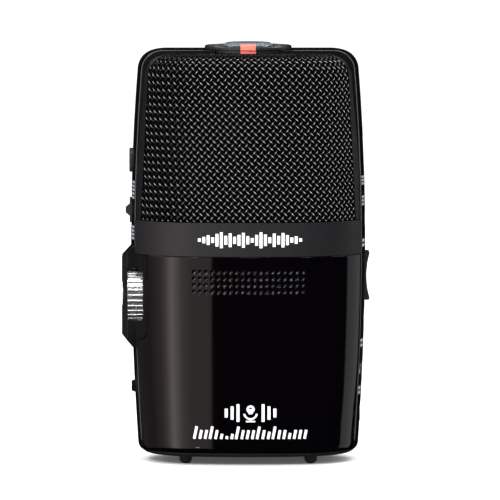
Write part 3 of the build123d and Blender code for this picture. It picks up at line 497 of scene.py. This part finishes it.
# ---------------------------------------------------------------- the body's form, as the frame has it
BASE_Z, WAIST_Z, ROOF_Z = 2.2, 60.0, 112.3
HALF_WIDTHS = (29.9, 32.0, 29.7)
HALF_DEPTHS = (20.4, 21.35, 20.6)
SIDE_CROWN = 1.1
FACE_RADIUS = 90.0
FACE_HALF = 14.5
FRAME_HALF_DEPTH = 7.75


def between(z, sizes):
    """A size at height z that swells smoothly to its waist value."""
    base, waist, roof = sizes
    if z <= WAIST_Z:
        return waist - (waist - base) * ((WAIST_Z - z) / (WAIST_Z - BASE_Z)) ** 2
    return waist - (waist - roof) * ((z - WAIST_Z) / (ROOF_Z - WAIST_Z)) ** 2


def plan_parts(z):
    """The plan curve at height z: its half width and half depth, the face arc's turn, and the corner arc's
    radius and centre.
    """
    half_width = between(z, HALF_WIDTHS)
    half_depth = between(z, HALF_DEPTHS)
    turn = asin(FACE_HALF / FACE_RADIUS)
    face_end_y = FACE_RADIUS - half_depth - FACE_RADIUS * cos(turn)
    run_x = half_width - SIDE_CROWN - FACE_HALF
    run_y = -FRAME_HALF_DEPTH - face_end_y
    radius = (run_x**2 + run_y**2) / (2 * (run_y * cos(turn) - run_x * sin(turn)))
    centre = (FACE_HALF - radius * sin(turn), face_end_y + radius * cos(turn))
    return half_width, half_depth, turn, radius, centre


def plan_point(run, z, inset):
    """The speaker face's plan curve at height z: where a run along it from the middle leads, in mm."""
    _, half_depth, turn, corner_radius, corner = plan_parts(z)
    side = 1 if run >= 0 else -1
    face_run = FACE_RADIUS * turn
    if abs(run) <= face_run:
        angle = abs(run) / FACE_RADIUS
        x = (FACE_RADIUS - inset) * sin(angle)
        y = FACE_RADIUS - half_depth - (FACE_RADIUS - inset) * cos(angle)
    else:
        angle = turn + (abs(run) - face_run) / corner_radius
        x = corner[0] + (corner_radius - inset) * sin(angle)
        y = corner[1] - (corner_radius - inset) * cos(angle)
    return side * x, y


# ---------------------------------------------------------------- woven grilles, with painted highlights on the wire crests
WEAVE_INSET = 0.9
WEAVE_ROOF_Z = 111.95
WEAVE_ROUND = 6.5
WEAVE_ACROSS = 1.93
WEAVE_DOWN = 1.97
WEAVE_LEAN = 0.107
WIRE_RADIUS = 0.235
WIRE_WAVE = 0.20
WIRE_SIDES = 6
WEAVE_CENTRE = (0.0, 92.0)
WEAVE_REACH = 46
WEAVE_RUN_LIMIT = 38.0
WEAVE_CLIMB_LIMITS = (60.0, 124.0)
# Painted highlight on the wire crests: its falloff along each wire for each family, the tube side that carries
# it, its fade towards the left edge for one family, and painted shade that dims it over the rounded top.
CREST_POWER = (1.0, 1.6)
CREST_TURN = 1
CREST_FADE_X = -27.0
CREST_FADE_WIDTH = 12.0
CREST_LEAST = 0.15
TOP_SHADE_Z = 110.6
TOP_SHADE = 0.3
STEPS_PER_CROSSING = 4
WEAVE_FOOT_Z = 66.3
WEAVE_LIP_Y = -8.5
OPENING_FOOT = (65.25, 29.15)
OPENING_CORNER = (21.0, 104.9)
OPENING_RADIUS = 6.15
OPENING_TOP_HALF = 21.75


def weave_point(run, climb, lift):
    """A point of the grille: run along the plan, climb up the face and over the rounded top, lift outwards."""
    radius = WEAVE_ROUND - WEAVE_INSET
    top = WEAVE_ROOF_Z - WEAVE_INSET
    spring_z = top - radius
    if climb <= spring_z:
        inset, z = WEAVE_INSET - lift, climb
    else:
        angle = min((climb - spring_z) / radius, pi / 2)
        beyond = max(climb - spring_z - radius * pi / 2, 0.0)
        inset = WEAVE_INSET + radius - (radius + lift) * cos(angle) + beyond
        z = spring_z + (radius + lift) * sin(angle)
    x, y = plan_point(run, z, inset)
    return x, y, z


def in_opening(x, y, z):
    """Whether a point of the weave lies inside the rim's opening."""
    if z < WEAVE_FOOT_Z or y > WEAVE_LIP_Y:
        return False
    corner_x, corner_z = OPENING_CORNER
    if z <= corner_z:
        share = (z - OPENING_FOOT[0]) / (corner_z - OPENING_FOOT[0])
        return abs(x) <= OPENING_FOOT[1] + (corner_x + OPENING_RADIUS - OPENING_FOOT[1]) * share
    if abs(x) <= OPENING_TOP_HALF:
        return True
    return (abs(x) - corner_x) ** 2 + (z - corner_z) ** 2 <= OPENING_RADIUS**2


def crest_highlight_share(family, x):
    """How strong the painted highlight on a wire's crests is: one family's highlight fades towards the left
    edge.
    """
    if family == 0:
        return 1.0
    return min(max((x - CREST_FADE_X) / CREST_FADE_WIDTH, CREST_LEAST), 1.0)


def weave_tick(family, place, index, along, across):
    """A point of a wire with the strength of its crest's painted highlight, or None outside the opening."""
    run = WEAVE_CENTRE[0] + index * across[0] + place * along[0]
    climb = WEAVE_CENTRE[1] + index * across[1] + place * along[1]
    low, high = WEAVE_CLIMB_LIMITS
    if abs(run) > WEAVE_RUN_LIMIT or not low <= climb <= high:
        return None
    wave = (1 if family == 0 else -1) * cos(pi * (place + index))
    x, y, z = weave_point(run, climb, WIRE_WAVE * wave)
    if not in_opening(x, y, z):
        return None
    # Painted shade: the crest highlights are dimmer over the rounded top.
    shade = TOP_SHADE if z > TOP_SHADE_Z else 1.0
    return x, y, z, max(wave, 0.0) ** CREST_POWER[family] * shade * crest_highlight_share(family, x)


def weave_wires():
    """The centre lines of all wires: plain weave, crossing at a lattice that leans a little."""
    half = WEAVE_LEAN * WEAVE_DOWN / 2
    steps = ((WEAVE_ACROSS / 2 + half, -WEAVE_DOWN / 2), (WEAVE_ACROSS / 2 - half, WEAVE_DOWN / 2))
    ticks = range(-WEAVE_REACH * STEPS_PER_CROSSING, WEAVE_REACH * STEPS_PER_CROSSING + 1)
    wires = []
    for family in (0, 1):
        for index in range(-WEAVE_REACH, WEAVE_REACH + 1):
            line = []
            for tick in ticks:
                point = weave_tick(family, tick / STEPS_PER_CROSSING, index, steps[family], steps[1 - family])
                if point:
                    line.append(point)
                    continue
                if len(line) > 2:
                    wires.append(line)
                line = []
            if len(line) > 2:
                wires.append(line)
    return wires


OUTWARD_Y = 2.0


def tube_mesh(name, lines, radius, sides):
    """One mesh of round wires along lines of points in mm, closed at their ends. A point's fourth value is the
    strength of the painted highlight on its crest, which goes to the wire's outermost corner."""
    vertices, faces, crest_highlights = [], [], []
    for line in lines:
        points = [Vector(point[:3]) for point in line]
        start = len(vertices)
        for index, point in enumerate(points):
            ahead = points[min(index + 1, len(points) - 1)] - points[max(index - 1, 0)]
            ahead.normalize()
            out = Vector((point.x, point.y * OUTWARD_Y, 0.0)).normalized()
            across = ahead.cross(out).normalized()
            up = across.cross(ahead)
            for turn in range(sides):
                angle = 2 * pi * (turn + 0.5) / sides
                vertices.append((point + (across * cos(angle) + up * sin(angle)) * radius) * MM)
                # The painted highlight's strength goes to the tube's outermost side only.
                painted_highlight = line[index][3] if len(line[index]) > 3 and turn == CREST_TURN else 0.0
                crest_highlights.append(painted_highlight)
        for ring in range(len(points) - 1):
            for turn in range(sides):
                low = start + ring * sides
                after = (turn + 1) % sides
                faces.append((low + turn, low + after, low + sides + after, low + sides + turn))
        faces.append(tuple(start + turn for turn in reversed(range(sides))))
        last = start + (len(points) - 1) * sides
        faces.append(tuple(last + turn for turn in range(sides)))
    mesh = bpy.data.meshes.new(name)
    mesh.from_pydata(vertices, [], faces)
    mesh.shade_smooth()
    # The crest attribute carries the painted highlight's strength.
    layer = mesh.color_attributes.new("crest_highlight", "FLOAT_COLOR", "POINT")
    for index, crest_highlight in enumerate(crest_highlights):
        layer.data[index].color = (crest_highlight, crest_highlight, crest_highlight, 1)
    return mesh


def add_grilles(finish):
    """A woven wire cloth in each face's grille opening."""
    front_mesh = tube_mesh("front_wire_weave", weave_wires(), WIRE_RADIUS, WIRE_SIDES)
    rear_mesh = front_mesh.copy()
    rear_mesh.name = "rear_wire_weave"
    rear_mesh.transform(Matrix.Rotation(pi, 4, "Z"))
    for mesh, node in ((front_mesh, "front_grille"), (rear_mesh, "rear_grille")):
        mesh.materials.append(finish)
        weave = add_object(mesh.name, mesh)
        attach(weave, "root")
        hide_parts(node)


# ---------------------------------------------------------------- the frame's front lip: a painted highlight line
LIP_RADIUS = 0.12
LIP_BASE_Z = 6.0
LIP_CORNER = 5.5
LIP_STEPS = 40
LIP_GAP_HALF = 12.2
LIP_CORNER_STEPS = 12
LIP_INSET = 0.1
LIP_LIFT = 0.02
GUARD_SPAN = (32.5, 58.0)


def lip_line(side):
    """The frame's front edge on one side, from the base up round the corner to the dial, in mm."""
    corner_z = ROOF_Z - LIP_CORNER
    points = []
    for step in range(LIP_STEPS + 1):
        z = LIP_BASE_Z + (corner_z - LIP_BASE_Z) * step / LIP_STEPS
        points.append((between(z, HALF_WIDTHS) - SIDE_CROWN, z))
    middle_x = points[-1][0] - LIP_CORNER
    for step in range(1, LIP_CORNER_STEPS + 1):
        angle = radians(90 * step / LIP_CORNER_STEPS)
        points.append((middle_x + LIP_CORNER * cos(angle), corner_z + LIP_CORNER * sin(angle)))
    points.append((LIP_GAP_HALF, ROOF_Z))
    return [(side * (x - LIP_INSET), -FRAME_HALF_DEPTH - LIP_LIFT, z - LIP_INSET) for x, z in points]


def lip_lines():
    """The lip's lines: whole on the right, cut out round the gain wheel's guard on the left."""
    left = lip_line(-1)
    low = [point for point in left if point[2] < GUARD_SPAN[0]]
    high = [point for point in left if point[2] > GUARD_SPAN[1]]
    return [low, high, lip_line(1)]


def add_lip_painted_highlight(finish):
    """A painted highlight: a fine grey tube along the frame's front edge, standing in for the edge's
    reflection.
    """
    mesh = tube_mesh("frame_front_lip_painted_highlight", lip_lines(), LIP_RADIUS, WIRE_SIDES)
    mesh.materials.append(finish)
    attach(add_object("frame_front_lip_painted_highlight", mesh), "root")


# ---------------------------------------------------------------- smooth skins of the outer pieces
SKIN_LOW_Z = BASE_Z + 3.0
SKIN_HIGH_Z = ROOF_Z - 5.6
SKIN_TOLERANCE = 0.05
SKIN_FACING = 0.97
SLOPE_STEP = 0.01
SKINS = (("battery_cover", "battery_cover"), ("rear_shell", "root"), ("front_trim_band", "root"),
         ("rear_trim_band", "root"), ("display_window", "root"), ("loop_frame", "root"))


def form_depth(x, y, z):
    """How far inside the body's outer form a point lies, in mm, measured in plan."""
    half_width, half_depth, turn, corner_radius, corner = plan_parts(z)
    x, y = abs(x), -abs(y)
    if y > -FRAME_HALF_DEPTH:
        side_radius = (FRAME_HALF_DEPTH**2 + SIDE_CROWN**2) / (2 * SIDE_CROWN)
        return side_radius - sqrt((x - half_width + side_radius) ** 2 + y**2)
    face_y = FACE_RADIUS - half_depth
    if atan2(x, face_y - y) <= turn:
        return FACE_RADIUS - sqrt(x**2 + (face_y - y) ** 2)
    return corner_radius - sqrt((x - corner[0]) ** 2 + (y - corner[1]) ** 2)


def form_normal(x, y, z):
    """The outward direction of the body's outer form at a point."""
    h = SLOPE_STEP
    slope_x = form_depth(x + h, y, z) - form_depth(x - h, y, z)
    slope_y = form_depth(x, y + h, z) - form_depth(x, y - h, z)
    slope_z = form_depth(x, y, z + h) - form_depth(x, y, z - h)
    return -Vector((slope_x, slope_y, slope_z)).normalized()


def add_skin(node, body):
    """Shows a copy of a CAD node whose outer surface shades as the true smooth form."""
    source = bpy.data.objects[node]
    mesh = source.data.copy()
    mesh.name = node + "_skin"
    normals = [Vector(corner.vector) for corner in mesh.corner_normals]
    for face in mesh.polygons:
        for corner in face.loop_indices:
            x, y, z = mesh.vertices[mesh.loops[corner].vertex_index].co / MM
            if not SKIN_LOW_Z < z < SKIN_HIGH_Z or abs(form_depth(x, y, z)) > SKIN_TOLERANCE:
                continue
            smooth = form_normal(x, y, z)
            if face.normal.dot(smooth) > SKIN_FACING:
                normals[corner] = smooth
    mesh.normals_split_custom_set(normals)
    skin = add_object(node + "_skin", mesh)
    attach(skin, body)
    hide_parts(node)


# ---------------------------------------------------------------- printed marks
INK_LIFT = 0.02
INK_STEP = 1.0
INK_DEPTH = 1.0
RING_STEP = 15.0
FACES = {
    "front": (lambda u, v: Vector((u, -0.2, v)), Vector((0.0, 1.0, 0.0))),
    "rear": (lambda u, v: Vector((-u, 0.2, v)), Vector((0.0, -1.0, 0.0))),
    "left": (lambda u, v: Vector((-0.2, u, v)), Vector((1.0, 0.0, 0.0))),
    "right": (lambda u, v: Vector((0.2, u, v)), Vector((-1.0, 0.0, 0.0))),
    "top": (lambda u, v: Vector((u, v, 0.3)), Vector((0.0, 0.0, -1.0))),
}


def bar(u0, v0, u1, v1):
    """An upright rectangle of ink cut into short cells, each four corners in mm."""
    across = max(1, round(abs(u1 - u0) / INK_STEP))
    up = max(1, round(abs(v1 - v0) / INK_STEP))
    cells = []
    for column in range(across):
        left = u0 + (u1 - u0) * column / across
        right = u0 + (u1 - u0) * (column + 1) / across
        for row in range(up):
            low = v0 + (v1 - v0) * row / up
            high = v0 + (v1 - v0) * (row + 1) / up
            cells.append(((left, low), (right, low), (right, high), (left, high)))
    return cells


def ring(u, v, radius, width, start=0.0, end=360.0):
    """A ring or an arc of ink round a centre; a disc if the width is the radius."""
    count = max(4, round((end - start) / RING_STEP))
    cells = []
    for index in range(count):
        angles = [radians(start + (end - start) * (index + part) / count) for part in (0, 1)]
        corners = ((radius - width, 0), (radius, 0), (radius, 1), (radius - width, 1))
        cells.append(tuple((u + reach * cos(angles[i]), v + reach * sin(angles[i])) for reach, i in corners))
    return cells


def stroke(start, end, width):
    """A straight stroke of ink between two points."""
    along = Vector((end[0] - start[0], end[1] - start[1]))
    across = Vector((-along.y, along.x)).normalized() * width / 2
    count = max(1, round(along.length / INK_STEP))
    cells = []
    for index in range(count):
        low = Vector(start) + along * index / count
        high = Vector(start) + along * (index + 1) / count
        corners = (low - across, high - across, high + across, low + across)
        cells.append(tuple(tuple(corner) for corner in corners))
    return cells


def add_ink(name, cells, node, face, body, finish):
    """Lays flat cells of ink on a node's surface, seen from one of the faces."""
    source = bpy.data.objects[node]
    points = [vertex.co for vertex in source.data.vertices]
    tree = BVHTree.FromPolygons(points, [tuple(face.vertices) for face in source.data.polygons])
    start_at, direction = FACES[face]
    vertices, faces = [], []
    for cell in cells:
        corners = []
        for u, v in cell:
            hit = tree.ray_cast(start_at(u * MM, v * MM), direction)[0]
            if hit is None:
                break
            corners.append(hit - direction * INK_LIFT * MM)
        depths = [corner.dot(direction) / MM for corner in corners]
        if len(corners) == 4 and max(depths) - min(depths) < INK_DEPTH:
            faces.append(tuple(range(len(vertices), len(vertices) + 4)))
            vertices += corners
    mesh = bpy.data.meshes.new(name)
    mesh.from_pydata(vertices, [], faces)
    mesh.materials.append(finish)
    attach(add_object(name, mesh), body)


BAND_MIDDLE = (0.5, 61.5)
BAND_WIDTH = 28.6
BAND_BAR_HALF = 0.40
BAND_HEIGHTS = (
    0.9, 1.7, 2.6, 1.5, 3.4, 4.3, 2.4, 3.7, 1.9, 2.9, 4.0, 2.2,
    1.2, 2.9, 4.3, 3.1, 1.6, 3.6, 2.3, 3.9, 2.7, 1.4, 2.0, 0.9,
)


def band_cells():
    """A waveform of upright bars, the band's plain emblem."""
    pitch = BAND_WIDTH / len(BAND_HEIGHTS)
    cells = []
    for index, height in enumerate(BAND_HEIGHTS):
        middle = BAND_MIDDLE[0] - BAND_WIDTH / 2 + pitch * (index + 0.5)
        low, high = BAND_MIDDLE[1] - height / 2, BAND_MIDDLE[1] + height / 2
        cells += bar(middle - BAND_BAR_HALF, low, middle + BAND_BAR_HALF, high)
    return cells


SIGN_X = 0.65
SOUND_Z = 14.5
SOUND_START, SOUND_PITCH, SOUND_HALF = 3.4, 1.6, 0.4
SOUND_HEIGHTS = (4.8, 3.6, 2.4)
LEVEL_X, LEVEL_Z = -14.3, 7.4
LEVEL_PITCH, LEVEL_WIDTH, LEVEL_LEAN = 1.42, 0.72, 0.1
LEVELS = (
    3.4, 2.4, 2.4, 3.4, 2.4, 1.4, 0.8, 1.4, 3.4, 2.4, 2.4,
    2.4, 3.4, 2.4, 2.0, 3.4, 2.4, 2.4, 1.6, 2.4, 2.4, 2.4,
)


def lower_cells():
    """Two rows of plain signs low on the cover: a microphone between sound bars, and a level scale."""
    cells = ring(SIGN_X, 15.5, 1.1, 0.55) + bar(0.1, 14.2, 1.2, 15.6) + ring(SIGN_X, 14.6, 2.0, 0.5, 190, 350)
    cells += bar(0.4, 12.0, 0.9, 12.8) + bar(-0.6, 12.0, 1.9, 12.4)
    for side in (-1, 1):
        for step, height in enumerate(SOUND_HEIGHTS):
            middle = SIGN_X + side * (SOUND_START + SOUND_PITCH * step)
            cells += bar(middle - SOUND_HALF, SOUND_Z - height / 2, middle + SOUND_HALF, SOUND_Z + height / 2)
    for index, height in enumerate(LEVELS):
        middle = LEVEL_X + index * LEVEL_PITCH
        lean = height * LEVEL_LEAN
        cells += stroke((middle - lean, LEVEL_Z), (middle + lean, LEVEL_Z + height), LEVEL_WIDTH)
    return cells


LABEL_Y = -5.4
LABEL_HALF = 1.7
LABEL_PITCH = 1.1
LABEL_SHARE = 0.62
LEFT_LABELS = ((71.8, 77.0), (60.7, 64.8))
RIGHT_LABELS = ((75.6, 78.4), (70.0, 73.0), (58.7, 61.3), (31.3, 34.0), (18.4, 21.0))
HEADPHONE_Z = 25.2


def side_cells(spans):
    """Short upright strips on a side, one group for each printed label's span in z."""
    cells = []
    for low, high in spans:
        count = max(2, round((high - low) / LABEL_PITCH))
        pitch = (high - low) / count
        for index in range(count):
            start = low + pitch * index
            cells += bar(LABEL_Y - LABEL_HALF, start, LABEL_Y + LABEL_HALF, low + pitch * (index + LABEL_SHARE))
    return cells


def headphone_cells(y, z):
    """A headphone sign: a bow with two cushions."""
    cells = ring(y, z, 1.5, 0.35, 0, 180) + bar(y - 1.6, z - 1.2, y - 0.9, z)
    return cells + bar(y + 0.9, z - 1.2, y + 1.6, z)


METER_X, METER_PITCH, METER_WIDTH, METER_BARS = -15.2, 1.4, 0.9, 22
METER_ROWS = ((48.6, 17), (46.4, 14))
METER_HIGH, METER_LOW = 1.3, 0.35
DIGIT_X, DIGIT_PITCH, DIGIT_WIDTH, DIGIT_STROKE = -14.0, 4.9, 3.2, 0.6
DIGIT_LOW_Z, DIGIT_HIGH_Z = 36.2, 43.6


def display_cells():
    """The display's content: two level meters, a counter of plain segments and a charge sign."""
    cells = []
    for row, filled in METER_ROWS:
        for index in range(METER_BARS):
            left = METER_X + index * METER_PITCH
            cells += bar(left, row, left + METER_WIDTH, row + (METER_HIGH if index < filled else METER_LOW))
    for digit in range(6):
        left = DIGIT_X + digit * DIGIT_PITCH
        right = left + DIGIT_WIDTH
        cells += bar(left, DIGIT_LOW_Z, left + DIGIT_STROKE, DIGIT_HIGH_Z)
        cells += bar(right - DIGIT_STROKE, DIGIT_LOW_Z, right, DIGIT_HIGH_Z)
        cells += bar(left, DIGIT_HIGH_Z - DIGIT_STROKE, right, DIGIT_HIGH_Z)
        cells += bar(left, DIGIT_LOW_Z, right, DIGIT_LOW_Z + DIGIT_STROKE)
    cells += bar(12.0, 33.4, 15.6, 33.7) + bar(12.0, 34.9, 15.6, 35.2) + bar(12.0, 33.4, 14.4, 35.2)
    return cells


SCALE_STROKE = 0.4
WHEEL_Z = 45.9
WHEEL_SCALE = (4.2, 5.4)
WHEEL_START, WHEEL_STEP, WHEEL_COUNT = -120.0, 26.7, 10
DIAL_SCALE = (8.3, 10.6)
DIAL_COUNT = 12
RECORD_Z = 17.0


def scale_stroke(u, v, turn, radii):
    """One stroke of a round scale about a centre, its turn measured from the u axis."""
    inner, outer = radii
    start = (u + inner * cos(turn), v + inner * sin(turn))
    return stroke(start, (u + outer * cos(turn), v + outer * sin(turn)), SCALE_STROKE)


def add_marks(made):
    """All printed marks, each riding the body that it is printed on."""
    white, pale, red, dark = made["white_ink"], made["pale_ink"], made["red_ink"], made["dark_ink"]
    add_ink("band_waveform", band_cells(), "front_trim_band", "front", "root", white)
    add_ink("cover_signs", lower_cells(), "battery_cover", "front", "battery_cover", white)
    add_ink("left_side_labels", side_cells(LEFT_LABELS), "loop_frame", "left", "root", pale)
    right = side_cells(RIGHT_LABELS) + headphone_cells(LABEL_Y, HEADPHONE_Z)
    add_ink("right_side_labels", right, "loop_frame", "right", "root", pale)
    rocker = bar(-0.9, 54.5, 0.9, 54.9) + bar(-0.2, 53.8, 0.2, 55.6) + bar(-0.9, 46.3, 0.9, 46.7)
    add_ink("rocker_signs", rocker, "volume_rocker", "right", "volume_rocker", white)
    wheel, dial = [], []
    for index in range(WHEEL_COUNT):
        wheel += scale_stroke(0.0, WHEEL_Z, radians(90 - WHEEL_START - index * WHEEL_STEP), WHEEL_SCALE)
    add_ink("wheel_scale", wheel, "gain_wheel", "left", "gain_wheel", white)
    for index in range(DIAL_COUNT):
        dial += scale_stroke(0.0, 0.0, radians(index * 360 / DIAL_COUNT), DIAL_SCALE)
    add_ink("dial_marks", dial, "mode_dial", "top", "mode_dial", white)
    add_ink("record_ring", ring(0, RECORD_Z, 4.3, 0.8), "record_button", "rear", "record_button", red)
    add_ink("record_dot", ring(0, RECORD_Z, 1.4, 1.3), "record_button", "rear", "record_button", red)
    add_ink("display_content", display_cells(), "lcd_module", "rear", "root", dark)


# ---------------------------------------------------------------- build
finishes = make_finishes()
add_camera()
add_studio()
dress_frame(finishes)
add_grilles(finishes["grille_wire"])
# A painted highlight line along the frame's front edge.
add_lip_painted_highlight(finishes["lip"])
add_marks(finishes)
for node, body in SKINS:
    add_skin(node, body)
